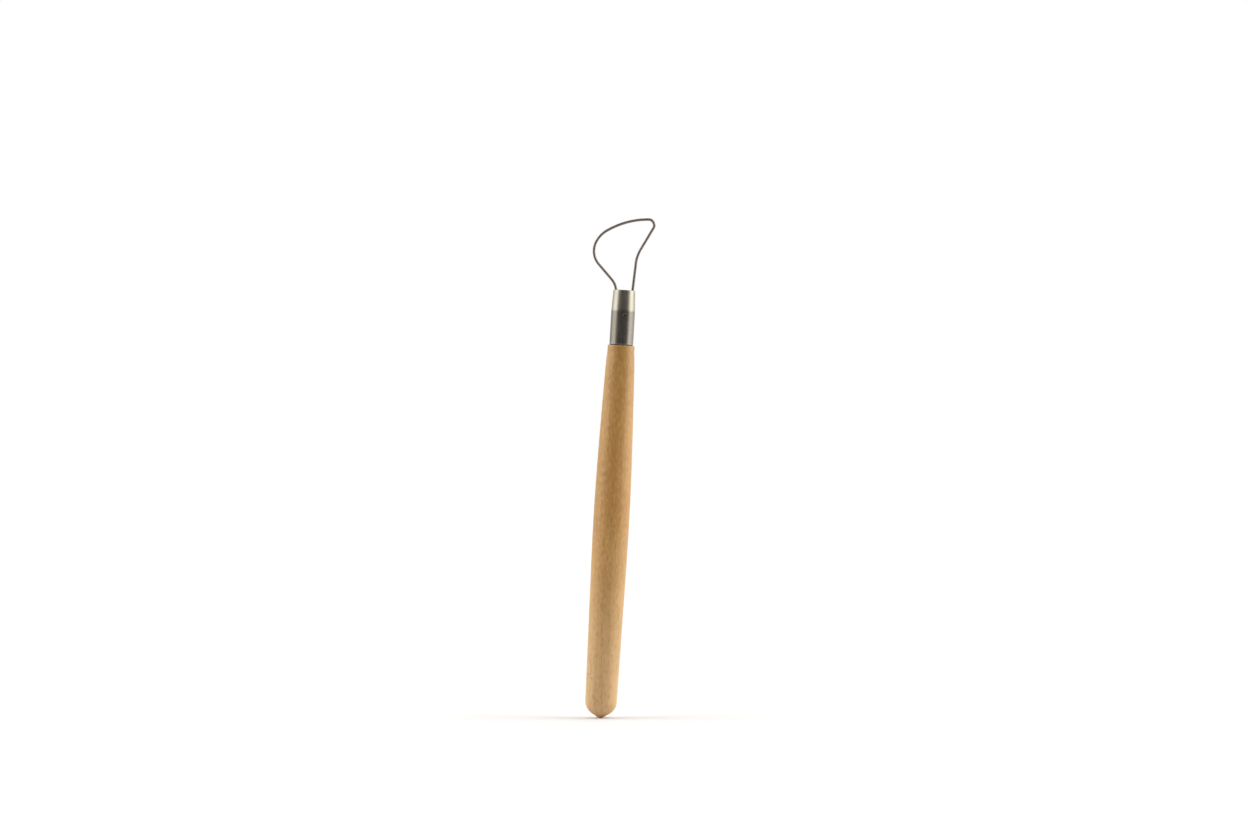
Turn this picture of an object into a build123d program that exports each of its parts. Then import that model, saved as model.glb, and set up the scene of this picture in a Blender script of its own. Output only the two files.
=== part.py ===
from build123d import *
import math
import os

# Wire loop tool for trimming clay: a turned handle, a swaged ferrule, one bent wire and the
# glue that holds them. +Z runs along the handle from the butt to the loop, the loop lies in
# the XZ plane and the front of the tool faces -Y. The origin is on the handle's axis, at the
# tip of the butt. Millimetres and degrees.

# handle, with heights up from the tip of the butt
handle_length = 148.5  # to the shoulder that the ferrule sits on
belly_radius = 7.19  # the thickest place
belly_height = 79.0
lower_height = 39.0  # a place between the butt and the belly
lower_draw = 0.42  # how much slimmer the side is there than at the belly
shoulder_step = 0.3  # how far the shoulder stands out past the ferrule
neck_step = 0.9  # how much further the side stands out at the neck, below the shoulder
neck_below_shoulder = 13.5
shoulder_slope = 0.16  # how much the side draws in there for each mm up
shoulder_rounding = 0.25
butt_draw = 0.86  # how much slimmer the side is where it meets the rounded butt
butt_rounding = 5.8
butt_cone_angle = 31.0  # slope of the cone between the butt's rounding and its tip
butt_flare = 1.0  # lean of the side above the rounding
tip_rounding = 2.9

# ferrule
ferrule_length = 22.0
ferrule_radius = 4.75  # outside, on the parallel part
ferrule_wall = 0.5
taper_length = 8.5  # the swaged part, up to the mouth
swage_depth = 0.4  # how much smaller the mouth is than the parallel part, in radius
rim_rounding = 0.15
punch_radius = 0.5  # the ball-ended punch that locked the ferrule to the tenon
punch_depth = 0.35
punch_wall = 0.35  # metal left behind the punch mark
punch_below_taper = 1.4
punch_turn = 8.5  # degrees round from the front, towards +X

# tenon, the end of the handle that the ferrule covers
tenon_gap = 0.05  # all round, to the inside of the ferrule
tenon_recess = 1.0  # from the mouth down to the tenon's end
kerf_lift = 2.0  # from the shoulder up to the floor of the saw cut for the wire's legs
punch_gap = 0.05  # between the ferrule's dent and the one that it pressed in the wood

# wire
wire_diameter = 1.1
leg_wall_gap = 0.03  # to the inside of the mouth
leg_kerf_gap = 0.05  # to each side of the kerf
leg_end_gap = 0.5  # to the floor of the kerf
right_leg_lean = 3.7  # outwards, from the handle's axis

# the left leg bends outwards from just inside the mouth and runs straight to the first corner
left_foot_bend = 7.7
left_foot_depth = 1.2  # from the mouth down to where that bend starts
left_run_lean = 43.6  # of the straight run, from upright
left_run_length = 17.3  # from corner to corner

# the other corners of the loop, as (across from the axis, up from the mouth)
left_crown = (-10.25, 22.1)
top = (-1.03, 27.9)
hook = (12.1, 29.05)
hook_bend = 2.27
right_foot_height = 14.0
right_foot_bend = 13.7

# the bends of the round side run into each other: each takes up this share of the shorter of
# the two runs beside its corner
left_side_share = 0.7
left_crown_share = 0.27
top_share = 0.72

# glue
glue_gap = 0.02  # to the wire, the wood and the ferrule
pool_thickness = 0.6  # over the end of the tenon

# places worked out from the sizes
mouth_height = handle_length + ferrule_length
taper_height = mouth_height - taper_length
bore_radius = ferrule_radius - ferrule_wall
mouth_radius = ferrule_radius - swage_depth
mouth_bore_radius = mouth_radius - ferrule_wall
butt_radius = belly_radius - butt_draw
lower_radius = belly_radius - lower_draw
shoulder_radius = ferrule_radius + shoulder_step
neck_radius = shoulder_radius + neck_step
tenon_height = mouth_height - tenon_recess
kerf_floor = handle_length + kerf_lift
kerf_depth = tenon_height - kerf_floor
kerf_width = wire_diameter + 2 * leg_kerf_gap
leg_end_height = kerf_floor + leg_end_gap
leg_reach = mouth_bore_radius - leg_wall_gap - wire_diameter / 2
punch_height = taper_height - punch_below_taper
punch_reach = ferrule_radius - punch_depth + punch_radius
punch_place = (
    punch_reach * math.sin(math.radians(punch_turn)),
    -punch_reach * math.cos(math.radians(punch_turn)),
    punch_height,
)
dent_radius = punch_radius + punch_wall
past_end = 5.0  # how far a cutter runs past what it cuts

os.makedirs("parts", exist_ok=True)


def bore_radius_at(height, gap):
    """Radius inside the ferrule, less a gap, at a height on its tapered part."""
    share = (height - taper_height) / taper_length
    return bore_radius + share * (mouth_bore_radius - bore_radius) - gap


def widest_bend(before, corner, after, share):
    """Radius of a bend that takes up a share of the shorter run beside its corner."""
    run_in = Vector(*corner) - Vector(*before)
    run_out = Vector(*after) - Vector(*corner)
    turn = math.radians(run_in.get_angle(run_out))
    return share * min(run_in.length, run_out.length) / math.tan(turn / 2)


# the line that the wire follows, from the end of the left leg to the end of the right one
left_run_angle = math.radians(left_run_lean)
right_leg_angle = math.radians(right_leg_lean)
bend_at_mouth = math.asin(left_foot_depth / left_foot_bend)
left_leg_reach = leg_reach - left_foot_bend * (1 - math.cos(bend_at_mouth))
left_foot_height = left_foot_bend * math.tan(left_run_angle / 2) - left_foot_depth
left_foot = (-left_leg_reach, left_foot_height)
left_side = (
    -left_leg_reach - left_run_length * math.sin(left_run_angle),
    left_foot_height + left_run_length * math.cos(left_run_angle),
)
right_foot = (leg_reach + right_foot_height * math.tan(right_leg_angle), right_foot_height)
loop_corners = [left_foot, left_side, left_crown, top, hook, right_foot]
loop_bends = [
    left_foot_bend,
    widest_bend(left_foot, left_side, left_crown, left_side_share),
    widest_bend(left_side, left_crown, top, left_crown_share),
    widest_bend(left_crown, top, hook, top_share),
    hook_bend,
    right_foot_bend,
]
right_leg_end = leg_reach - (mouth_height - leg_end_height) * math.tan(right_leg_angle)
wire_points = (
    [(-left_leg_reach, leg_end_height)]
    + [(across, mouth_height + up) for across, up in loop_corners]
    + [(right_leg_end, leg_end_height)]
)


# handle: lathe-turned body and tenon in one, with a kerf sawn across the tenon
with BuildPart() as handle:
    with BuildSketch(Plane.XZ):
        with BuildLine():
            tip_arc = JernArc((0, 0), (1, 0), tip_rounding, butt_cone_angle)
            cone_angle = math.radians(butt_cone_angle)
            arc_centre_x = butt_radius - butt_rounding
            arc_centre_z = (
                (tip_arc @ 1).Y
                + (arc_centre_x - (tip_arc @ 1).X) * math.tan(cone_angle)
                + butt_rounding / math.cos(cone_angle)
            )
            cone_end = (
                arc_centre_x + butt_rounding * math.sin(cone_angle),
                arc_centre_z - butt_rounding * math.cos(cone_angle),
            )
            cone = Line(tip_arc @ 1, cone_end)
            butt_arc = JernArc(cone @ 1, cone % 1, butt_rounding, 90 - butt_cone_angle - butt_flare)
            side = Spline(
                butt_arc @ 1,
                (lower_radius, lower_height),
                (belly_radius, belly_height),
                (neck_radius, handle_length - neck_below_shoulder),
                (shoulder_radius, handle_length),
                tangents=[butt_arc % 1, (-shoulder_slope, 1)],
            )
            Polyline(
                side @ 1,
                (bore_radius - tenon_gap, handle_length),
                (bore_radius - tenon_gap, taper_height),
                (bore_radius_at(tenon_height, tenon_gap), tenon_height),
                (0, tenon_height),
                (0, 0),
            )
        make_face()
    revolve(axis=Axis.Z)
    shoulder_edge = handle.edges().filter_by(GeomType.CIRCLE).filter_by(
        lambda edge: abs(edge.radius - shoulder_radius) < shoulder_rounding / 2
    )
    fillet(shoulder_edge, shoulder_rounding)
    with BuildSketch(Plane.XY.offset(kerf_floor)):
        Rectangle(2 * ferrule_radius, kerf_width)
    extrude(amount=kerf_depth + past_end, mode=Mode.SUBTRACT)
    with Locations(punch_place):
        Sphere(dent_radius + punch_gap, mode=Mode.SUBTRACT)

# what the ferrule is hollowed by: its bore, less the dent that the punch pushed inwards
with BuildPart() as bore:
    with BuildSketch(Plane.XZ):
        Polygon(
            (0, handle_length),
            (bore_radius, handle_length),
            (bore_radius, taper_height),
            (mouth_bore_radius, mouth_height),
            (0, mouth_height),
            align=None,
        )
    revolve(axis=Axis.Z)
    with Locations(punch_place):
        Sphere(dent_radius, mode=Mode.SUBTRACT)

# ferrule: a thin tube, parallel below and swaged to a taper above
with BuildPart() as ferrule:
    with BuildSketch(Plane.XZ):
        Polygon(
            (0, handle_length),
            (ferrule_radius, handle_length),
            (ferrule_radius, taper_height),
            (mouth_radius, mouth_height),
            (0, mouth_height),
            align=None,
        )
    revolve(axis=Axis.Z)
    fillet(ferrule.edges().group_by(Axis.Z)[-1], rim_rounding)
    fillet(ferrule.edges().group_by(Axis.Z)[0], rim_rounding)
    add(bore.part, mode=Mode.SUBTRACT)
    with Locations(punch_place):
        Sphere(punch_radius, mode=Mode.SUBTRACT)

# wire: one round wire, bent to the loop, with its two legs down in the kerf
with BuildPart() as wire_loop:
    with BuildLine(Plane.XZ) as wire_line:
        FilletPolyline(*wire_points, radius=loop_bends)
    with BuildSketch(Plane.XY.offset(leg_end_height)):
        with Locations((-left_leg_reach, 0)):
            Circle(wire_diameter / 2)
    sweep(path=wire_line.wires()[0])

# the space that the wire takes out of the glue
with BuildPart() as wire_room:
    with BuildSketch(Plane.XY.offset(leg_end_height)):
        with Locations((-left_leg_reach, 0)):
            Circle(wire_diameter / 2 + glue_gap)
    sweep(path=wire_line.wires()[0])

# glue: fills the kerf between the legs and lies in a thin pool over the end of the tenon
with BuildPart() as glue:
    with BuildSketch(Plane.XZ):
        Polygon(
            (0, kerf_floor),
            (bore_radius - tenon_gap, kerf_floor),
            (bore_radius - tenon_gap, taper_height),
            (bore_radius_at(tenon_height, tenon_gap), tenon_height),
            (0, tenon_height),
            align=None,
        )
    revolve(axis=Axis.Z)
    with BuildSketch(Plane.XY.offset(kerf_floor)):
        Rectangle(2 * ferrule_radius, kerf_width - 2 * glue_gap)
    extrude(amount=kerf_depth, mode=Mode.INTERSECT)
    with BuildSketch(Plane.XZ):
        Polygon(
            (0, tenon_height),
            (bore_radius_at(tenon_height, glue_gap), tenon_height),
            (bore_radius_at(tenon_height + pool_thickness, glue_gap), tenon_height + pool_thickness),
            (0, tenon_height + pool_thickness),
            align=None,
        )
    revolve(axis=Axis.Z)
    add(wire_room.part, mode=Mode.SUBTRACT)

handle.part.label = "handle"
ferrule.part.label = "ferrule"
wire_loop.part.label = "wire_loop"
glue.part.label = "glue"
export_step(handle.part, "parts/handle.step")
export_step(ferrule.part, "parts/ferrule.step")
export_step(wire_loop.part, "parts/wire_loop.step")
export_step(glue.part, "parts/glue.step")
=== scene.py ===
import math

import bmesh
import bpy
import numpy as np
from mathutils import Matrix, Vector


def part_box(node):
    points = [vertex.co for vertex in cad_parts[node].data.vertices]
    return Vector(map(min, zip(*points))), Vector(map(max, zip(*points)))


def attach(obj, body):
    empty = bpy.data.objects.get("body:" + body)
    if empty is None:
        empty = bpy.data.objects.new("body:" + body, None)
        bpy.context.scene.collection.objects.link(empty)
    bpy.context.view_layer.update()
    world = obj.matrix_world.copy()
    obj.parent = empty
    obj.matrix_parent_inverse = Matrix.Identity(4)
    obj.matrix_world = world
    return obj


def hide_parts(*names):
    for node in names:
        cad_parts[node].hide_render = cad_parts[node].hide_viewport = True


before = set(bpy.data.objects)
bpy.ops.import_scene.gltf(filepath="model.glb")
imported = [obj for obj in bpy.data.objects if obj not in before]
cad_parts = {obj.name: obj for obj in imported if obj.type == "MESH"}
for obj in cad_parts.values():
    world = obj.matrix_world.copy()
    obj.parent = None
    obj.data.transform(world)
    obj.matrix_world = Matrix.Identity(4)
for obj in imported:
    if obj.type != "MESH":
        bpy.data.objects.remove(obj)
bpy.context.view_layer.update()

# a wire loop tool for trimming clay, standing on its butt: turned beech handle, swaged ferrule,
# bent steel wire and a little glue in the mouth of the ferrule

mm = 0.001
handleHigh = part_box("handle")[1]
ferruleLow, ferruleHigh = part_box("ferrule")
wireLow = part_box("wire_loop")[0]
glueLow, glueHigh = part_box("glue")


# wraps a socket, so that sums in a node tree read as they are written
class Flow:
    def __init__(self, graph, socket):
        self.graph = graph
        self.socket = socket

    def __add__(self, other):
        return self.graph.math("ADD", self, other)

    def __radd__(self, other):
        return self.graph.math("ADD", other, self)

    def __sub__(self, other):
        return self.graph.math("SUBTRACT", self, other)

    def __rsub__(self, other):
        return self.graph.math("SUBTRACT", other, self)

    def __mul__(self, other):
        return self.graph.math("MULTIPLY", self, other)

    def __rmul__(self, other):
        return self.graph.math("MULTIPLY", other, self)

    def __truediv__(self, other):
        return self.graph.math("DIVIDE", self, other)

    def __rtruediv__(self, other):
        return self.graph.math("DIVIDE", other, self)

    def __pow__(self, other):
        return self.graph.math("POWER", self, other)

    def __neg__(self):
        return self.graph.math("MULTIPLY", self, -1.0)


# builds a node tree; every node comes from node()
class Graph:
    def __init__(self, tree):
        self.tree = tree

    def node(self, kind, settings=None, sockets=None, out=0):
        made = self.tree.nodes.new(kind)
        for name, value in (settings or {}).items():
            setattr(made, name, value)
        for key, value in (sockets or {}).items():
            if isinstance(value, Flow):
                self.tree.links.new(value.socket, made.inputs[key])
            else:
                made.inputs[key].default_value = value
        return Flow(self, made.outputs[out]) if made.outputs else made

    def math(self, operation, *values):
        return self.node("ShaderNodeMath", {"operation": operation}, dict(enumerate(values)))

    def vector(self, operation, *values, out=0):
        settings = {"operation": operation}
        return self.node("ShaderNodeVectorMath", settings, dict(enumerate(values)), out)

    def scaled(self, vector, factor):
        sockets = {"Vector": vector, "Scale": factor}
        return self.node("ShaderNodeVectorMath", {"operation": "SCALE"}, sockets)

    def length(self, vector):
        return self.vector("LENGTH", vector, out="Value")

    def combine(self, x, y, z):
        return self.node("ShaderNodeCombineXYZ", sockets={"X": x, "Y": y, "Z": z})

    def split(self, vector):
        parts = self.node("ShaderNodeSeparateXYZ", sockets={"Vector": vector}).socket.node
        return [Flow(self, socket) for socket in parts.outputs]

    # 0 below low, 1 above high, smooth between
    def step(self, value, low, high):
        limits = {"Value": value, "From Min": low, "From Max": high, "To Min": 0.0, "To Max": 1.0}
        return self.node("ShaderNodeMapRange", {"interpolation_type": "SMOOTHSTEP"}, limits)

    def mix(self, share, first, second):
        colours = [value if isinstance(value, Flow) else (*value, 1.0) for value in (first, second)]
        sockets = {0: share, 6: colours[0], 7: colours[1]}
        return self.node("ShaderNodeMix", {"data_type": "RGBA"}, sockets, 2)

    # noise whose blobs are as long as reach along each axis
    def noise(self, place, reach, detail=2.0, roughness=0.5):
        scaled = self.vector("DIVIDE", place, reach)
        return self.node(
            "ShaderNodeTexNoise",
            sockets={"Vector": scaled, "Scale": 1.0, "Detail": detail, "Roughness": roughness},
        )

    # spots, at most one in a cell: 1 in the middle of a spot and 0 outside it
    def spots(self, place, cell, size, softness=0.4):
        scaled = self.vector("DIVIDE", place, cell)
        distance = self.node("ShaderNodeTexVoronoi", sockets={"Vector": scaled, "Scale": 1.0})
        return 1.0 - self.step(distance, size * (1.0 - softness), size)

    def bump(self, height, depth, strength=1.0):
        return self.node(
            "ShaderNodeBump", sockets={"Strength": strength, "Distance": depth, "Height": height}
        )


def newMaterial(name):
    material = bpy.data.materials.new(name)
    material.use_nodes = True
    material.node_tree.nodes.clear()
    return material, Graph(material.node_tree)


def finishMaterial(graph, surface):
    shader = graph.node("ShaderNodeBsdfPrincipled", sockets=surface)
    graph.node("ShaderNodeOutputMaterial", sockets={"Surface": shader})


# patterns are laid out in millimetres of the object's own space
def millimetres(graph):
    place = graph.node("ShaderNodeTexCoord", out="Object")
    return graph.vector("MULTIPLY", place, (1 / mm, 1 / mm, 1 / mm))


beechSpec = {
    "pale": (0.528, 0.271, 0.070),
    "warm": (0.456, 0.218, 0.049),
    # the palest wood tone, used for the painted floor light towards the butt and for pale mottling
    "palest": (0.615, 0.374, 0.168),
    "floorLightEnds": (4.0, 86.0),    # painted light from the floor: paler towards the butt, fading out between these, in mm up the handle
    "ringColour": (0.36, 0.175, 0.044),
    "fleckColour": (0.25, 0.115, 0.030),
    "endColour": (0.46, 0.270, 0.105),
    # painted shade: the dark line where the wood meets the ferrule
    "gapShadeColour": (0.07, 0.04, 0.02),
    "heartAway": (-34.0, 20.0),    # from the handle's axis to the middle of the tree, in mm
    "grainLean": (0.010, -0.016),  # how the grain runs off along the handle
    "driftSize": (9.0, 14.0, 60.0),  # along the radius, round the tree, along the grain, in mm
    "blotchSize": (6.0, 6.0, 26.0),
    "ringWidth": 2.1,
    "ringStrength": 0.22,
    "fibreSize": (0.16, 0.16, 5.0),
    "fibreStrength": 0.30,
    "mottleSize": (0.8, 0.55, 2.0),
    "mottleDark": 0.24,
    "mottlePale": 0.34,
    "fleckCell": (2.2, 0.50, 4.2),
    "fleckSize": 0.31,
    "fleckStrength": 0.38,
    "fleckFade": 0.16,             # weaker by this where the handle is painted paler towards the butt
    "fleckPatchSize": (3.0, 1.0, 7.0),
    "poreCell": (0.22, 0.22, 1.8),
    "poreSize": 0.22,
    "poreStrength": 0.20,
    "latheGap": 0.6,               # between the rings that the lathe left, in mm
    "latheStrength": 0.03,
    "shoulderLathe": 0.36,         # added to that next to the shoulder
    "endGrain": (0.8, 1.7),        # the butt's tip is end grain, which fades out between these
    "endStrength": 0.6,
    "gapShadeStrength": 0.8,           # painted shade in the gap against the ferrule
    "roughness": 0.46,
    "coat": 0.24,
    "coatRoughness": 0.38,
    "speckStrength": 0.62,
    "speckRadius": 6.5,            # from the handle's axis to the middle of each, in mm
    # dark specks: turn from the front in degrees, height, width and length in mm
    "specks": [
        (-66, 17.5, 0.55, 0.5), (-60, 17.1, 0.4, 0.4), (-65, 15.8, 0.6, 0.4), (-43, 15.8, 0.5, 0.4),
        (-52, 22.4, 0.3, 1.6), (-58, 24.0, 0.25, 1.2), (39, 27.5, 0.35, 0.35), (71, 29.5, 0.3, 0.3),
    ],
}


# a few stray dark specks near the butt, most of them on the left
def speckMask(graph, place, fibre, spec):
    marks = None
    for turn, height, width, tall in spec["specks"]:
        angle, radius = math.radians(turn), spec["speckRadius"]
        centre = (radius * math.sin(angle), -radius * math.cos(angle), height)
        offset = graph.vector("SUBTRACT", place, centre)
        offset = graph.vector("DIVIDE", offset, (width, width, tall))
        ragged = graph.length(offset) + (fibre - 0.5) * 0.9
        mark = 1.0 - graph.step(ragged, 0.45, 1.0)
        marks = mark if marks is None else graph.math("MAXIMUM", marks, mark)
    return marks


def beechMaterial(spec):
    material, graph = newMaterial("turned_beech")
    place = millimetres(graph)
    x, y, z = graph.split(place)
    x = x + z * spec["grainLean"][0]
    y = y + z * spec["grainLean"][1]
    heartX, heartY = spec["heartAway"]
    away = math.hypot(heartX, heartY)
    # along the tree's radius and round it, close enough to straight over a handle's width
    radial = (x - heartX) * (-heartX / away) + (y - heartY) * (-heartY / away)
    around = (x - heartX) * (heartY / away) - (y - heartY) * (heartX / away)
    grain = graph.combine(radial, around, z)

    drift = graph.noise(grain, spec["driftSize"], detail=2.0)
    blotch = graph.noise(place, spec["blotchSize"], detail=3.0)
    fibre = graph.noise(grain, spec["fibreSize"], detail=3.0, roughness=0.6)
    ring = graph.math("FRACT", radial / spec["ringWidth"] + drift * 1.6)
    lateWood = graph.step(ring, 0.55, 0.97) * (1.0 - graph.step(ring, 0.97, 1.0))
    fleck = graph.spots(grain, spec["fleckCell"], spec["fleckSize"])
    fleckPatch = graph.noise(grain, spec["fleckPatchSize"], detail=1.0)
    fleck = fleck * graph.step(fleckPatch, 0.34, 0.60)
    mottle = graph.noise(grain, spec["mottleSize"], detail=2.0)
    pore = graph.spots(grain, spec["poreCell"], spec["poreSize"])

    dark, rings = spec["fleckColour"], spec["ringColour"]
    colour = graph.mix(graph.step(blotch, 0.3, 0.72), spec["pale"], spec["warm"])
    # painted light from the floor: the handle is painted paler towards the butt
    palest = 1.0 - graph.step(z + (drift - 0.5) * 14.0, *spec["floorLightEnds"])
    colour = graph.mix(palest, colour, spec["palest"])
    colour = graph.mix(lateWood * spec["ringStrength"], colour, rings)
    colour = graph.mix(graph.step(fibre, 0.46, 0.78) * spec["fibreStrength"], colour, spec["warm"])
    colour = graph.mix(graph.step(mottle, 0.50, 0.66) * spec["mottleDark"], colour, dark)
    paleMottle = graph.step(0.5 - mottle, 0.02, 0.16)
    colour = graph.mix(paleMottle * spec["mottlePale"], colour, spec["palest"])
    fleckShare = spec["fleckStrength"] - palest * spec["fleckFade"]
    colour = graph.mix(fleck * fleckShare, colour, dark)
    colour = graph.mix(pore * spec["poreStrength"], colour, dark)

    # rings left by the lathe, plainest next to the shoulder
    shoulder = ferruleLow.z / mm
    lathe = graph.noise(graph.combine(0.0, 0.0, z), (1.0, 1.0, spec["latheGap"]), detail=2.0)
    nearTop = graph.step(z, shoulder - 9.0, shoulder - 0.5)
    latheShare = spec["latheStrength"] + nearTop * spec["shoulderLathe"]
    colour = graph.mix(graph.step(lathe, 0.44, 0.64) * latheShare, colour, rings)

    # the blunt end is end grain, which takes the finish darker, and a painted shade line sits in
    # the gap against the ferrule
    endGrain = 1.0 - graph.step(z, *spec["endGrain"])
    colour = graph.mix(endGrain * spec["endStrength"], colour, spec["endColour"])
    # painted shade: a dark band on the wood just under the ferrule's edge, where the gap lies in
    # shade
    gapShade = graph.step(z, shoulder - 0.12, shoulder - 0.02)
    colour = graph.mix(gapShade * spec["gapShadeStrength"], colour, spec["gapShadeColour"])
    colour = graph.mix(speckMask(graph, place, fibre, spec) * spec["speckStrength"], colour, dark)

    roughness = spec["roughness"] + (fibre - 0.5) * 0.14 + fleck * -0.05 + endGrain * 0.16
    height = fibre * 0.35 + fleck * 0.25 - pore * 0.9 + lathe * 0.5
    bump = graph.bump(height, 0.03 * mm, 0.25)
    finishMaterial(graph, {
        "Base Color": colour, "Roughness": roughness, "Normal": bump,
        "Coat Weight": spec["coat"], "Coat Roughness": spec["coatRoughness"],
        "Specular IOR Level": 0.5,
    })
    return material


ferruleFinish = {
    # partly the swaged taper's own polish, partly a painted highlight of the light its upturned
    # face catches; the rim's painted highlight uses it too
    "polishAndSheen": (0.456, 0.402, 0.340),
    "dull": (0.315, 0.271, 0.243),
    # real stains and streaks, and the painted shade in the tuck and on the lip
    "stainAndShade": (0.26, 0.24, 0.20),
    # painted shade in the hollow of the punch mark
    "pitShade": (0.03, 0.028, 0.025),
    "roughness": 0.29,
    "swagedRoughness": 0.07,          # added to that on the taper
    "drawnLine": (0.10, 0.10, 16.0),  # size of a drawing mark, in mm
    "streak": (0.42, 0.42, 18.0),     # and of the broader streaks left by polishing
    "streakStrength": 0.22,
    "cloud": (2.2, 2.2, 4.0),
    "cloudStrength": 0.25,
    "rimHighlightStrength": 0.55,              # a painted highlight line just above the shoulder
    "edgeShadeStrength": 0.8,              # painted shade in the tuck and on the lip
}


def ferruleMaterial(spec, shape):
    material, graph = newMaterial("dull_nickel")
    place = millimetres(graph)
    z = graph.split(place)[2]
    low, high = ferruleLow.z / mm, ferruleHigh.z / mm
    taper = high - shape["taperLength"] / mm
    lines = graph.noise(place, spec["drawnLine"], detail=3.0, roughness=0.65)
    cloud = graph.noise(place, spec["cloud"], detail=4.0, roughness=0.6)
    streak = graph.noise(place, spec["streak"], detail=1.0)
    scratch = graph.noise(place, (0.9, 0.9, 0.05), detail=1.0)
    swaged = graph.step(z, taper - 0.15, taper + 1.15)
    # painted highlight: a bright line on the rounded rim just above the shoulder
    rimHighlight = graph.step(z, low + 0.38, low + 0.55) * (1.0 - graph.step(z, low + 0.75, low + 1.05))
    # painted shade in the tuck at the shoulder and on the lip of the mouth
    tuckShade = 1.0 - graph.step(z, low + 0.15, low + 0.45)
    lip = graph.step(z, high - 0.45, high - 0.1)
    punch, punchWidth = tuple(v / mm for v in punchPlace(shape)), shape["punchWidth"] / mm
    fromPunch = graph.length(graph.vector("SUBTRACT", place, punch))
    # painted shade: the punch mark's hollow is painted nearly black
    pitShade = 1.0 - graph.step(fromPunch, punchWidth * 0.45, punchWidth * 0.72)

    # the taper is lighter, partly for its polish and partly as a painted highlight
    colour = graph.mix(swaged, spec["dull"], spec["polishAndSheen"])
    colour = graph.mix(graph.step(cloud, 0.45, 0.8) * spec["cloudStrength"], colour, spec["stainAndShade"])
    colour = graph.mix((lines - 0.5) * 0.5 + 0.2, colour, spec["dull"])
    streaks = graph.step(streak, 0.42, 0.62) * spec["streakStrength"]
    colour = graph.mix(streaks, colour, spec["stainAndShade"])
    colour = graph.mix(rimHighlight * spec["rimHighlightStrength"], colour, spec["polishAndSheen"])
    edges = graph.math("MAXIMUM", tuckShade, lip * 0.8)
    colour = graph.mix(edges * spec["edgeShadeStrength"], colour, spec["stainAndShade"])
    colour = graph.mix(pitShade, colour, spec["pitShade"])
    roughness = spec["roughness"] + (lines - 0.5) * 0.16 + (cloud - 0.5) * 0.12
    roughness = roughness + swaged * spec["swagedRoughness"]
    roughness = roughness + graph.math("MAXIMUM", pitShade, lip * 0.5) * 0.4
    height = lines * 0.8 + graph.step(scratch, 0.62, 0.7) * 0.15
    bump = graph.bump(height, 0.01 * mm, 0.12)
    finishMaterial(graph, {
        "Base Color": colour, "Roughness": roughness, "Metallic": 1.0, "Normal": bump,
    })
    return material


wireFinish = {
    "steel": (0.235, 0.203, 0.187),
    "worn": (0.27, 0.230, 0.204),
    "roughness": 0.48,
    "cloud": (4.0, 4.0, 4.0),  # size of the paler clouds, in mm
    "grit": (0.08, 0.08, 0.08),
}


def wireMaterial(spec):
    material, graph = newMaterial("dark_steel_wire")
    place = millimetres(graph)
    cloud = graph.noise(place, spec["cloud"], detail=3.0, roughness=0.5)
    fine = graph.noise(place, spec["grit"], detail=2.0)
    colour = graph.mix(graph.step(cloud, 0.4, 0.7), spec["steel"], spec["worn"])
    roughness = spec["roughness"] + (cloud - 0.5) * 0.2 + (fine - 0.5) * 0.1
    bump = graph.bump(fine, 0.01 * mm, 0.15)
    finishMaterial(graph, {
        "Base Color": colour, "Roughness": roughness, "Metallic": 1.0, "Normal": bump,
    })
    return material


glueFinish = {
    "clear": (0.15, 0.080, 0.026),
    "cloudy": (0.25, 0.165, 0.080),
    "roughness": 0.18,
    "coat": 0.5,
    "cloud": (0.9, 0.9, 0.9),  # size of the cloudy parts, in mm
    "bubbleCell": (0.55, 0.55, 0.55),
    "bubbleSize": 0.24,
    "bubbleStrength": 0.35,
}


def glueMaterial(spec):
    material, graph = newMaterial("amber_adhesive")
    place = millimetres(graph)
    cloud = graph.noise(place, spec["cloud"], detail=3.0)
    bubble = graph.spots(place, spec["bubbleCell"], spec["bubbleSize"])
    colour = graph.mix(graph.step(cloud, 0.4, 0.7), spec["clear"], spec["cloudy"])
    colour = graph.mix(bubble * spec["bubbleStrength"], colour, spec["cloudy"])
    roughness = spec["roughness"] + (cloud - 0.5) * 0.2
    bump = graph.bump(bubble, 0.03 * mm, 0.3)
    finishMaterial(graph, {
        "Base Color": colour, "Roughness": roughness, "Normal": bump, "Coat Weight": spec["coat"],
    })
    return material


def newTree(name, inputs):
    tree = bpy.data.node_groups.new(name, "GeometryNodeTree")
    tree.interface.new_socket(name="Geometry", in_out="INPUT", socket_type="NodeSocketGeometry")
    for label, kind in inputs.items():
        tree.interface.new_socket(name=label, in_out="INPUT", socket_type=kind)
    tree.interface.new_socket(name="Geometry", in_out="OUTPUT", socket_type="NodeSocketGeometry")
    graph = Graph(tree)
    entry = tree.nodes.new("NodeGroupInput")
    given = {socket.name: Flow(graph, socket) for socket in entry.outputs if socket.name}
    return tree, graph, given


# every tree ends the same way: instances made real, smooth faces, the piece's material
def endTree(graph, geometry, material):
    smooth = graph.node("GeometryNodeSetShadeSmooth", sockets={"Geometry": geometry})
    real = graph.node("GeometryNodeRealizeInstances", sockets={"Geometry": smooth})
    sockets = {"Geometry": real, "Material": material}
    coloured = graph.node("GeometryNodeSetMaterial", sockets=sockets)
    graph.node("NodeGroupOutput", sockets={"Geometry": coloured})


# moves the points of a geometry by an offset of their own
def shifted(graph, geometry, offset):
    return graph.node("GeometryNodeSetPosition", sockets={"Geometry": geometry, "Offset": offset})


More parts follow.
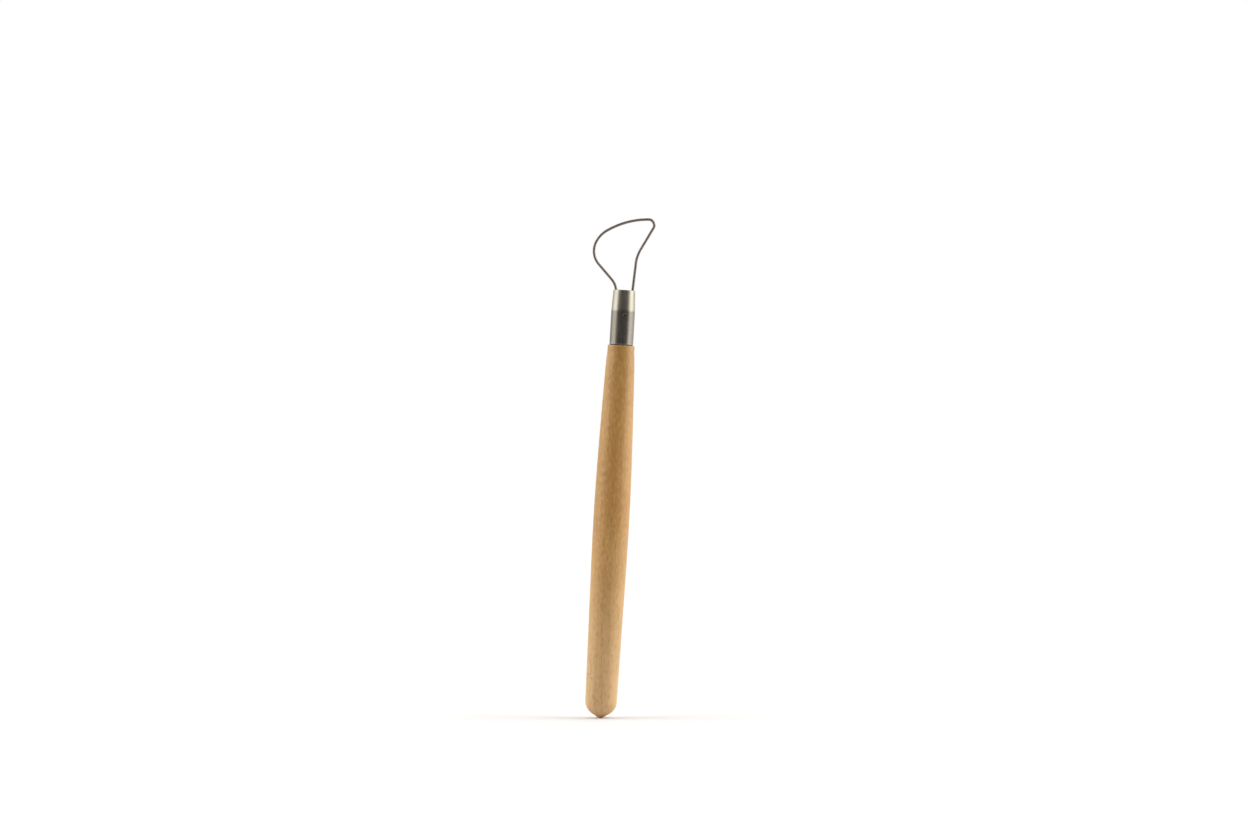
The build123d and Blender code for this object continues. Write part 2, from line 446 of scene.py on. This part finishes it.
# turns an outline, given as points (radius, 0, height), round the Z axis like work in a lathe
def makeLatheTree():
    tree, graph, given = newTree("lathe", {
        "Sides": "NodeSocketInt", "Ripple": "NodeSocketFloat", "RippleSize": "NodeSocketFloat",
        "Material": "NodeSocketMaterial",
    })
    outline = given["Geometry"]
    points = graph.node(
        "GeometryNodeAttributeDomainSize", {"component": "MESH"}, {"Geometry": outline}
    )
    rows = given["Sides"] + 1.0
    grid = graph.node("GeometryNodeMeshGrid", sockets={"Vertices X": points, "Vertices Y": rows})
    index = graph.node("GeometryNodeInputIndex")
    onOutline = graph.math("FLOOR", (index + 0.5) / rows)
    turn = (index - onOutline * rows) / given["Sides"] * (-2 * math.pi)  # so faces look outwards
    where = graph.node("GeometryNodeInputPosition")
    sample = graph.node(
        "GeometryNodeSampleIndex", {"data_type": "FLOAT_VECTOR", "domain": "POINT"},
        {"Geometry": outline, "Value": where, "Index": onOutline},
    )
    radius, _, height = graph.split(sample)
    across, back = radius * graph.math("COSINE", turn), radius * graph.math("SINE", turn)
    turned = graph.combine(across, back, height)
    shaped = graph.node("GeometryNodeSetPosition", sockets={"Geometry": grid, "Position": turned})
    # the seam and the poles close
    merged = graph.node(
        "GeometryNodeMergeByDistance", sockets={"Geometry": shaped, "Distance": 0.002 * mm}
    )
    # hand sanding leaves a faint unevenness, only ever inwards
    size = given["RippleSize"]
    reach = graph.combine(size, size, size * 3.0)
    uneven = graph.noise(graph.node("GeometryNodeInputPosition"), reach, detail=1.0)
    inwards = graph.scaled(graph.node("GeometryNodeInputNormal"), -uneven * given["Ripple"])
    endTree(graph, shifted(graph, merged, inwards), given["Material"])
    return tree


# bends a line of corners to the radius stored at each and gives it a round section
def makeBentWireTree():
    tree, graph, given = newTree("bentWire", {
        "Radius": "NodeSocketFloat", "Sides": "NodeSocketInt", "BendSteps": "NodeSocketInt",
        "Material": "NodeSocketMaterial",
    })
    line = graph.node("GeometryNodeMeshToCurve", sockets={"Mesh": given["Geometry"]})
    bend = graph.node("GeometryNodeInputNamedAttribute", {"data_type": "FLOAT"}, {"Name": "bend"})
    bent = graph.node(
        "GeometryNodeFilletCurve", {"mode": "POLY"},
        {"Curve": line, "Count": given["BendSteps"], "Radius": bend, "Limit Radius": True},
    )
    section = graph.node(
        "GeometryNodeCurvePrimitiveCircle",
        sockets={"Resolution": given["Sides"], "Radius": given["Radius"]},
    )
    tube = graph.node(
        "GeometryNodeCurveToMesh",
        sockets={"Curve": bent, "Profile Curve": section, "Fill Caps": True},
    )
    endTree(graph, tube, given["Material"])
    return tree


# presses a small round dent into the side of a turned piece, with a faint raised lip round it
def makePunchTree():
    tree, graph, given = newTree("punchMark", {
        "Place": "NodeSocketVector", "Width": "NodeSocketFloat", "Depth": "NodeSocketFloat",
        "Material": "NodeSocketMaterial",
    })
    place = graph.node("GeometryNodeInputPosition")
    outwards = graph.vector("NORMALIZE", graph.vector("MULTIPLY", given["Place"], (1.0, 1.0, 0.0)))
    offset = graph.vector("SUBTRACT", place, given["Place"])
    along = graph.vector("DOT_PRODUCT", offset, outwards, out="Value")
    across = graph.vector("SUBTRACT", offset, graph.scaled(outwards, along))
    away = graph.length(across) / (given["Width"] * 0.5)
    near = graph.math("LESS_THAN", graph.math("ABSOLUTE", along), 2.0 * mm)
    dent = graph.math("EXPONENT", -(away ** 4.0) * 1.2)
    lip = graph.math("EXPONENT", -((away - 1.25) ** 2.0) * 14.0) * 0.03
    push = (lip - dent) * given["Depth"] * near
    dented = shifted(graph, given["Geometry"], graph.scaled(outwards, push))
    endTree(graph, dented, given["Material"])
    return tree


# lifts the flat top of a glue pool where it wets the wall and the wires
def makeMeniscusTree():
    tree, graph, given = newTree("meniscus", {
        "PoolTop": "NodeSocketFloat", "WallRadius": "NodeSocketFloat",
        "Climb": "NodeSocketFloat", "Reach": "NodeSocketFloat",
        "LeftLeg": "NodeSocketVector", "RightLeg": "NodeSocketVector",
        "LegRadius": "NodeSocketFloat", "Material": "NodeSocketMaterial",
    })
    place = graph.node("GeometryNodeInputPosition")
    x, y, z = graph.split(place)
    flat = graph.combine(x, y, 0.0)
    fromWall = given["WallRadius"] - graph.length(flat)
    climb = graph.math("EXPONENT", -fromWall / given["Reach"])
    for leg in ("LeftLeg", "RightLeg"):
        gap = graph.vector("DISTANCE", flat, given[leg], out="Value") - given["LegRadius"]
        gap = graph.math("MAXIMUM", gap, 0.0)
        climb = graph.math("MAXIMUM", climb, graph.math("EXPONENT", -gap / given["Reach"]))
    onTop = graph.math("GREATER_THAN", z, given["PoolTop"] - 0.01 * mm)
    lift = climb * given["Climb"] * onTop
    raised = shifted(graph, given["Geometry"], graph.combine(0.0, 0.0, lift))
    endTree(graph, raised, given["Material"])
    return tree


def newObject(name, points, edges, faces=()):
    mesh = bpy.data.meshes.new(name)
    mesh.from_pydata(points, edges, faces)
    made = bpy.data.objects.new(name, mesh)
    bpy.context.scene.collection.objects.link(made)
    return made


def addTree(piece, tree, values):
    modifier = piece.modifiers.new(tree.name, "NODES")
    modifier.node_group = tree
    for item in tree.interface.items_tree:
        if item.in_out == "INPUT" and item.name in values:
            modifier[item.identifier] = values[item.name]


def addBoolean(piece, operation, other):
    modifier = piece.modifiers.new(operation.lower(), "BOOLEAN")
    modifier.operation = operation
    modifier.solver = "EXACT"
    modifier.object = other


def makePlain(piece, sharpAngle=40.0):
    depsgraph = bpy.context.evaluated_depsgraph_get()
    mesh = bpy.data.meshes.new_from_object(piece.evaluated_get(depsgraph), depsgraph=depsgraph)
    piece.modifiers.clear()
    piece.data = mesh
    mesh.name = piece.name
    mesh.set_sharp_from_angle(angle=math.radians(sharpAngle))
    return piece


# takes out the slivers that a Boolean leaves along its cuts
def dropSlivers(piece, reach):
    work = bmesh.new()
    work.from_mesh(piece.data)
    bmesh.ops.remove_doubles(work, verts=work.verts, dist=reach)
    bmesh.ops.triangulate(work, faces=work.faces)
    bmesh.ops.dissolve_degenerate(work, edges=work.edges, dist=reach)
    work.to_mesh(piece.data)
    work.free()


def boxObject(name, low, high):
    acrossEnds, backEnds, upEnds = zip(low, high)
    points = [(x, y, z) for x in acrossEnds for y in backEnds for z in upEnds]
    faces = [(0, 1, 3, 2), (4, 6, 7, 5), (0, 4, 5, 1), (2, 3, 7, 6), (0, 2, 6, 4), (1, 5, 7, 3)]
    return newObject(name, points, [], faces)


def outlineObject(name, outline):
    points = [(radius, 0.0, height) for radius, height in outline]
    return newObject(name, points, [(i, i + 1) for i in range(len(points) - 1)])


# points of a small rounding, from one direction to another, in degrees
def rounding(centre, radius, start, end, steps=6):
    angles = np.linspace(math.radians(start), math.radians(end), steps)
    return [(centre[0] + radius * math.cos(a), centre[1] + radius * math.sin(a)) for a in angles]


# points along a line, without its ends
def straight(start, end, spacing):
    steps = max(1, round(math.dist(start, end) / spacing))
    return [tuple(np.array(start) + (np.array(end) - start) * i / steps) for i in range(1, steps)]


def hand(piece, node):
    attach(piece, "root")
    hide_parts(node)


latheTree = makeLatheTree()
punchTree = makePunchTree()


handleSpec = {
    "sides": 160,
    "ringGap": 0.8 * mm,      # between rings along the side
    "endRingGap": 0.22 * mm,  # and round the butt
    "endHeight": 9.0 * mm,
    "ripple": 0.02 * mm,
    "rippleSize": 5.0 * mm,
    "tenonGap": 0.05 * mm,
    "tenonRingGap": 0.25 * mm,
    "kerfWidth": 1.2 * mm,
    "kerfLift": 2.0 * mm,     # the cut stops this far above the shoulder
    "kerfPastEnd": 5.0 * mm,
    "shoulderRounding": 0.25 * mm,
}


# the turned outline of a CAD node between two heights, as its own vertices give it
def turnedOutline(node, low, high):
    places = np.array([v.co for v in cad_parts[node].data.vertices])
    heights = places[:, 2]
    radii = np.hypot(places[:, 0], places[:, 1])
    inside = (heights > low) & (heights < high)
    order = np.argsort(heights[inside])
    heights, radii = heights[inside][order], radii[inside][order]
    keep = np.concatenate(([True], np.diff(heights) > 0.02 * mm))  # one point of each ring
    return heights[keep], radii[keep]


def makeHandle(spec, material):
    shoulder = ferruleLow.z
    bore = ferruleHigh.x - ferruleSpec["wall"]
    mouthBore = bore - ferruleSpec["swage"]
    taperHeight = ferruleHigh.z - ferruleSpec["taperLength"]
    rounded = spec["shoulderRounding"]
    heights, radii = turnedOutline("handle", -1.0, shoulder - rounded)
    outline = [(0.0, 0.0)]
    # rings close together round the butt, further apart up the side
    travelled = np.concatenate(([0.0], np.cumsum(np.hypot(np.diff(heights), np.diff(radii)))))
    endTravel = np.interp(spec["endHeight"], heights, travelled)
    stops = np.concatenate((
        np.arange(spec["endRingGap"], endTravel, spec["endRingGap"]),
        np.arange(endTravel, travelled[-1], spec["ringGap"]),
    ))
    for stop in stops:
        radius, height = np.interp(stop, travelled, radii), np.interp(stop, travelled, heights)
        outline.append((float(radius), float(height)))
    edge = float(radii[-1])
    outline += rounding((edge - rounded, shoulder - rounded), rounded, 5, 90)
    tenonBase = bore - spec["tenonGap"]
    tenonTop = handleHigh.z
    share = (tenonTop - taperHeight) / ferruleSpec["taperLength"]
    tenonEnd = bore + (mouthBore - bore) * share - spec["tenonGap"]
    corners = [
        (tenonBase, shoulder), (tenonBase, taperHeight), (tenonEnd, tenonTop), (0.0, tenonTop),
    ]
    outline += [corners[0]]
    for start, end in zip(corners, corners[1:]):
        outline += straight(start, end, spec["tenonRingGap"]) + [end]
    piece = outlineObject("beech_handle", outline)
    addTree(piece, latheTree, {
        "Sides": spec["sides"], "Ripple": spec["ripple"], "RippleSize": spec["rippleSize"],
        "Material": material,
    })
    addPunch(piece, ferruleSpec, material)
    makePlain(piece)
    # the saw cut across the tenon that the legs of the wire sit in
    half = spec["kerfWidth"] / 2
    outer, kerfTop = ferruleHigh.x, tenonTop + spec["kerfPastEnd"]
    kerf = boxObject(
        "kerf", (-outer, -half, shoulder + spec["kerfLift"]), (outer, half, kerfTop)
    )
    addBoolean(piece, "DIFFERENCE", kerf)
    makePlain(piece)
    bpy.data.objects.remove(kerf)
    print("handle turned:", len(piece.data.polygons), "faces")
    return piece


ferruleSpec = {
    "sides": 288,
    "wall": 0.5 * mm,
    "taperLength": 8.5 * mm,
    "swage": 0.4 * mm,
    "rimRounding": 0.15 * mm,
    "tuck": 0.4 * mm,         # rounding of the end that is turned in against the shoulder
    "ringGap": 0.5 * mm,
    "fineRingGap": 0.1 * mm,  # round the punch mark
    "crease": 0.06 * mm,      # rings this close on both sides keep the start of the taper crisp
    "mouthBevel": (0.04 * mm, 0.05 * mm),  # of the bore's edge, across and down
    "ripple": 0.004 * mm,
    "rippleSize": 2.5 * mm,
    "punchBelowTaper": 1.4 * mm,
    "punchTurn": 8.5,         # to the right of the front, in degrees
    "punchWidth": 0.8 * mm,
    "punchDepth": 0.28 * mm,
}


def punchPlace(shape):
    turn = math.radians(shape["punchTurn"])
    outer = ferruleHigh.x
    height = ferruleHigh.z - shape["taperLength"] - shape["punchBelowTaper"]
    return (outer * math.sin(turn), -outer * math.cos(turn), height)


# the punch dents the ferrule and the tenon under it alike
def addPunch(piece, shape, material):
    addTree(piece, punchTree, {
        "Place": punchPlace(shape), "Width": shape["punchWidth"], "Depth": shape["punchDepth"],
        "Material": material,
    })


def makeFerrule(spec, material):
    low, high = ferruleLow.z, ferruleHigh.z
    outer = ferruleHigh.x
    mouth = outer - spec["swage"]
    bore, mouthBore = outer - spec["wall"], mouth - spec["wall"]
    taper = high - spec["taperLength"]
    rim = spec["rimRounding"]
    punchHeight = punchPlace(spec)[2]
    fineLow, fineHigh = punchHeight - spec["punchWidth"], punchHeight + spec["punchWidth"]

    def side(radius, start, end):
        fine = fineLow <= min(start, end) and max(start, end) <= fineHigh
        gap = spec["fineRingGap"] if fine else spec["ringGap"]
        return straight((radius, start), (radius, end), gap) + [(radius, end)]

    tuck = spec["tuck"]
    outline = rounding((outer - tuck, low + tuck), tuck, -90, 0, 10)
    crease = spec["crease"]
    outline += side(outer, low + tuck, fineLow) + side(outer, fineLow, fineHigh)
    outline += side(outer, fineHigh, taper - crease) + [(outer, taper)]
    creaseShare = crease / spec["taperLength"]
    outline += [(outer + (mouth - outer) * creaseShare, taper + crease)]
    outline += straight(outline[-1], (mouth, high - rim), spec["ringGap"])
    outline += rounding((mouth - rim, high - rim), rim, 0, 90)
    bevelAcross, bevelDown = spec["mouthBevel"]
    outline += [(mouthBore + bevelAcross, high), (mouthBore, high - bevelDown)]
    outline += straight((mouthBore, high - bevelDown), (bore, taper), spec["ringGap"] * 2)
    outline += [(bore, taper)]
    outline += side(bore, taper, fineHigh) + side(bore, fineHigh, fineLow)
    outline += side(bore, fineLow, low)
    outline += [outline[0]]
    piece = outlineObject("swaged_ferrule", outline)
    addTree(piece, latheTree, {
        "Sides": spec["sides"], "Ripple": spec["ripple"], "RippleSize": spec["rippleSize"],
        "Material": material,
    })
    addPunch(piece, spec, material)
    makePlain(piece)
    print("ferrule turned:", len(piece.data.polygons), "faces")
    return piece


wireSpec = {
    "diameter": 1.088 * mm,  # a hair under its solid's, to stay in the same box
    "sides": 28,
    "bendSteps": 22,
    "wallGap": 0.03 * mm,
    "rightLegLean": 3.7,
    "leftFootBend": 7.7 * mm,
    "leftFootDepth": 1.2 * mm,
    "leftRunLean": 43.6,
    "leftRunLength": 17.3 * mm,
    # across from the axis and up from the mouth of the ferrule
    "leftCrown": (-10.25 * mm, 22.1 * mm),
    "top": (-1.03 * mm, 27.9 * mm),
    "hook": (12.1 * mm, 29.05 * mm),
    "rightFootHeight": 14.0 * mm,
    "hookBend": 2.27 * mm,
    "rightFootBend": 13.7 * mm,
    # share of the shorter run beside a corner that its bend takes up
    "leftSideShare": 0.7,
    "leftCrownShare": 0.27,
    "topShare": 0.72,
}


# radius of a bend that takes up a share of the shorter run beside its corner
def widestBend(before, corner, after, share):
    runIn = np.subtract(corner, before)
    runOut = np.subtract(after, corner)
    lengthIn, lengthOut = np.linalg.norm(runIn), np.linalg.norm(runOut)
    turn = math.acos(np.dot(runIn, runOut) / lengthIn / lengthOut)
    return share * min(lengthIn, lengthOut) / math.tan(turn / 2)


# from the axis to the left leg below its bend, and to the right leg at the mouth of the ferrule
def legReach(spec):
    mouthBore = ferruleHigh.x - ferruleSpec["swage"] - ferruleSpec["wall"]
    reach = mouthBore - spec["wallGap"] - spec["diameter"] / 2
    startTurn = math.asin(spec["leftFootDepth"] / spec["leftFootBend"])
    return reach - spec["leftFootBend"] * (1 - math.cos(startTurn)), reach


def makeWire(spec, material):
    mouth = ferruleHigh.z
    runLean = math.radians(spec["leftRunLean"])
    legLean = math.tan(math.radians(spec["rightLegLean"]))
    leftReach, rightReach = legReach(spec)
    footHeight = spec["leftFootBend"] * math.tan(runLean / 2) - spec["leftFootDepth"]
    leftFoot = (-leftReach, footHeight)
    leftSide = (
        -leftReach - spec["leftRunLength"] * math.sin(runLean),
        footHeight + spec["leftRunLength"] * math.cos(runLean),
    )
    rightFoot = (rightReach + spec["rightFootHeight"] * legLean, spec["rightFootHeight"])
    legEnd = wireLow.z - mouth
    corners = [
        (-leftReach, legEnd),
        leftFoot,
        leftSide,
        spec["leftCrown"],
        spec["top"],
        spec["hook"],
        rightFoot,
        (rightReach + legEnd * legLean, legEnd),
    ]
    bends = [
        0.0,
        spec["leftFootBend"],
        widestBend(leftFoot, leftSide, spec["leftCrown"], spec["leftSideShare"]),
        widestBend(leftSide, spec["leftCrown"], spec["top"], spec["leftCrownShare"]),
        widestBend(spec["leftCrown"], spec["top"], spec["hook"], spec["topShare"]),
        spec["hookBend"],
        spec["rightFootBend"],
        0.0,
    ]
    points = [(across, 0.0, mouth + up) for across, up in corners]
    piece = newObject("bent_wire", points, [(i, i + 1) for i in range(len(points) - 1)])
    stored = piece.data.attributes.new("bend", "FLOAT", "POINT")
    stored.data.foreach_set("value", bends)
    addTree(piece, makeBentWireTree(), {
        "Radius": spec["diameter"] / 2, "Sides": spec["sides"], "BendSteps": spec["bendSteps"],
        "Material": material,
    })
    makePlain(piece)
    print("wire bent:", len(piece.data.polygons), "faces")
    return piece


glueSpec = {
    "sides": 96,
    "ringGap": 0.12 * mm,
    "gap": 0.02 * mm,         # to the bore and the walls of the kerf
    "ripple": 0.03 * mm,
    "rippleSize": 1.2 * mm,
    "climb": 0.22 * mm,       # up the wall and the legs
    "climbReach": 0.22 * mm,
    "skin": 0.05 * mm,        # the ripple leaves the top no lower than this
    "overlap": 0.2 * mm,      # between the pool and the glue in the kerf, before they are joined
    "sliver": 0.008 * mm,
}


def makeGlue(spec, material, wire):
    top, tenonTop = glueHigh.z, handleHigh.z
    bore = ferruleHigh.x - ferruleSpec["wall"]
    mouthBore = bore - ferruleSpec["swage"]
    share = (top - ferruleHigh.z + ferruleSpec["taperLength"]) / ferruleSpec["taperLength"]
    edge = bore + (mouthBore - bore) * share - spec["gap"]
    outline = [(0.0, tenonTop)] + straight((0.0, tenonTop), (edge, tenonTop), spec["ringGap"] * 3)
    outline += [(edge, tenonTop), (edge, top)]
    outline += straight((edge, top), (0.0, top), spec["ringGap"]) + [(0.0, top)]
    piece = outlineObject("set_glue", outline)
    addTree(piece, latheTree, {
        "Sides": spec["sides"], "Ripple": spec["ripple"], "RippleSize": spec["rippleSize"],
        "Material": material,
    })
    leftReach, rightReach = legReach(wireSpec)
    addTree(piece, makeMeniscusTree(), {
        "PoolTop": top - spec["skin"], "WallRadius": edge,
        "Climb": spec["climb"], "Reach": spec["climbReach"],
        "LeftLeg": (-leftReach, 0.0, 0.0), "RightLeg": (rightReach, 0.0, 0.0),
        "LegRadius": wireSpec["diameter"] / 2, "Material": material,
    })
    makePlain(piece)
    half = handleSpec["kerfWidth"] / 2 - spec["gap"]
    slabTop = tenonTop + spec["overlap"]
    slab = boxObject("slab", (glueLow.x, -half, glueLow.z), (glueHigh.x, half, slabTop))
    slab.data.materials.append(material)
    addBoolean(piece, "UNION", slab)
    addBoolean(piece, "DIFFERENCE", wire)
    makePlain(piece)
    dropSlivers(piece, spec["sliver"])
    bpy.data.objects.remove(slab)
    print("glue set:", len(piece.data.polygons), "faces")
    return piece


beech = beechMaterial(beechSpec)
nickel = ferruleMaterial(ferruleFinish, ferruleSpec)
steel = wireMaterial(wireFinish)
amber = glueMaterial(glueFinish)
print("materials mixed")

handle = makeHandle(handleSpec, beech)
ferrule = makeFerrule(ferruleSpec, nickel)
wire = makeWire(wireSpec, steel)
glue = makeGlue(glueSpec, amber, wire)
hand(handle, "handle")
hand(ferrule, "ferrule")
hand(wire, "wire_loop")
hand(glue, "glue")
print("pieces handed over")


studioSpec = {
    "distance": 1.30,
    "aimAcross": 2.7 * mm,
    "aimUp": 120.5 * mm,
    "fieldWidth": 0.497,
    "lean": 3.24,             # the camera and the floor lean by this, the tool stands upright
    "floorDrop": 0.005 * mm,  # the butt then touches the floor beside its tip
    "floorFront": 0.47,       # how far the floor reaches towards the camera
    "floorReach": 3.0,        # and every other way
    "floorColour": (0.715, 0.672, 0.712, 1.0),
    "room": 0.085,            # brightness of the dark room in front
    "walls": 0.86,
    "wallsBehind": 0.32,      # taken off behind the tool
    "frontEdge": (0.22, 0.64),  # the walls give way to the dark room between these
    "backEdge": (-0.15, -0.6),  # and to the part behind the tool between these
    "lamps": 3.5,
    "lampHeights": (0.02, 0.24, 0.66, 0.84),  # they fade in and out between these
    "lampsBehind": 0.28,      # the lamps behind the tool against those beside it
    "rightLamps": 1.20,       # those on the right against those on the left
    "roof": 0.7,
    "roofHeights": (0.66, 0.92),
    "backdrop": 1.0,
    "tint": (0.985, 1.03, 0.96),
}


def makeWorld(spec):
    world = bpy.data.worlds.new("tent")
    bpy.context.scene.world = world
    world.use_nodes = True
    world.node_tree.nodes.clear()
    graph = Graph(world.node_tree)
    x, y, z = graph.split(graph.node("ShaderNodeTexCoord", out="Generated"))
    # 1 towards the camera, 0 at either side and -1 behind
    facing = -y / graph.length(graph.combine(x, y, 0.0))
    sides = 1.0 - graph.step(facing, *spec["frontEdge"])
    behind = graph.step(facing, *spec["backEdge"])
    lampStart, lampFull, lampFade, lampEnd = spec["lampHeights"]
    high = graph.step(z, lampStart, lampFull) - graph.step(z, lampFade, lampEnd)
    beside = 1.0 - behind * (1.0 - spec["lampsBehind"])
    right = 1.0 + graph.step(x, -0.3, 0.3) * (spec["rightLamps"] - 1.0)
    light = spec["room"] + sides * right * (spec["walls"] - spec["room"])
    light = light - behind * spec["wallsBehind"] * sides
    light = light + sides * high * right * beside * spec["lamps"]
    light = light + graph.step(z, *spec["roofHeights"]) * spec["roof"]
    seen = graph.node("ShaderNodeLightPath", out="Is Camera Ray")
    light = light + (spec["backdrop"] - light) * seen
    tint = graph.mix(seen, spec["tint"], (1.0, 1.0, 1.0))
    tent = graph.node("ShaderNodeBackground", sockets={"Color": tint, "Strength": light})
    graph.node("ShaderNodeOutputWorld", sockets={"Surface": tent})


def makeStudio(spec):
    view = bpy.data.cameras.new("camera")
    view.sensor_width = 36.0
    view.lens = view.sensor_width * spec["distance"] / spec["fieldWidth"]
    view.clip_end = 50.0
    camera = bpy.data.objects.new("camera", view)
    camera.location = (spec["aimAcross"], -spec["distance"], spec["aimUp"])
    camera.rotation_euler = (math.radians(90), math.radians(-spec["lean"]), 0.0)
    bpy.context.scene.collection.objects.link(camera)
    bpy.context.scene.camera = camera

    reach, front = spec["floorReach"], spec["floorFront"]
    rise = reach * math.tan(math.radians(spec["lean"]))
    left, right = -rise - spec["floorDrop"], rise - spec["floorDrop"]
    corners = [
        (-reach, -front, left), (reach, -front, right),
        (reach, reach, right), (-reach, reach, left),
    ]
    floor = newObject("floor", corners, [], [(0, 1, 2, 3)])
    white, graph = newMaterial("white_floor")
    finishMaterial(graph, {
        "Base Color": spec["floorColour"], "Roughness": 1.0, "Specular IOR Level": 0.0,
    })
    floor.data.materials.append(white)

    makeWorld(spec)
    bpy.context.scene.view_settings.view_transform = "Standard"
    print("studio ready")


makeStudio(studioSpec)
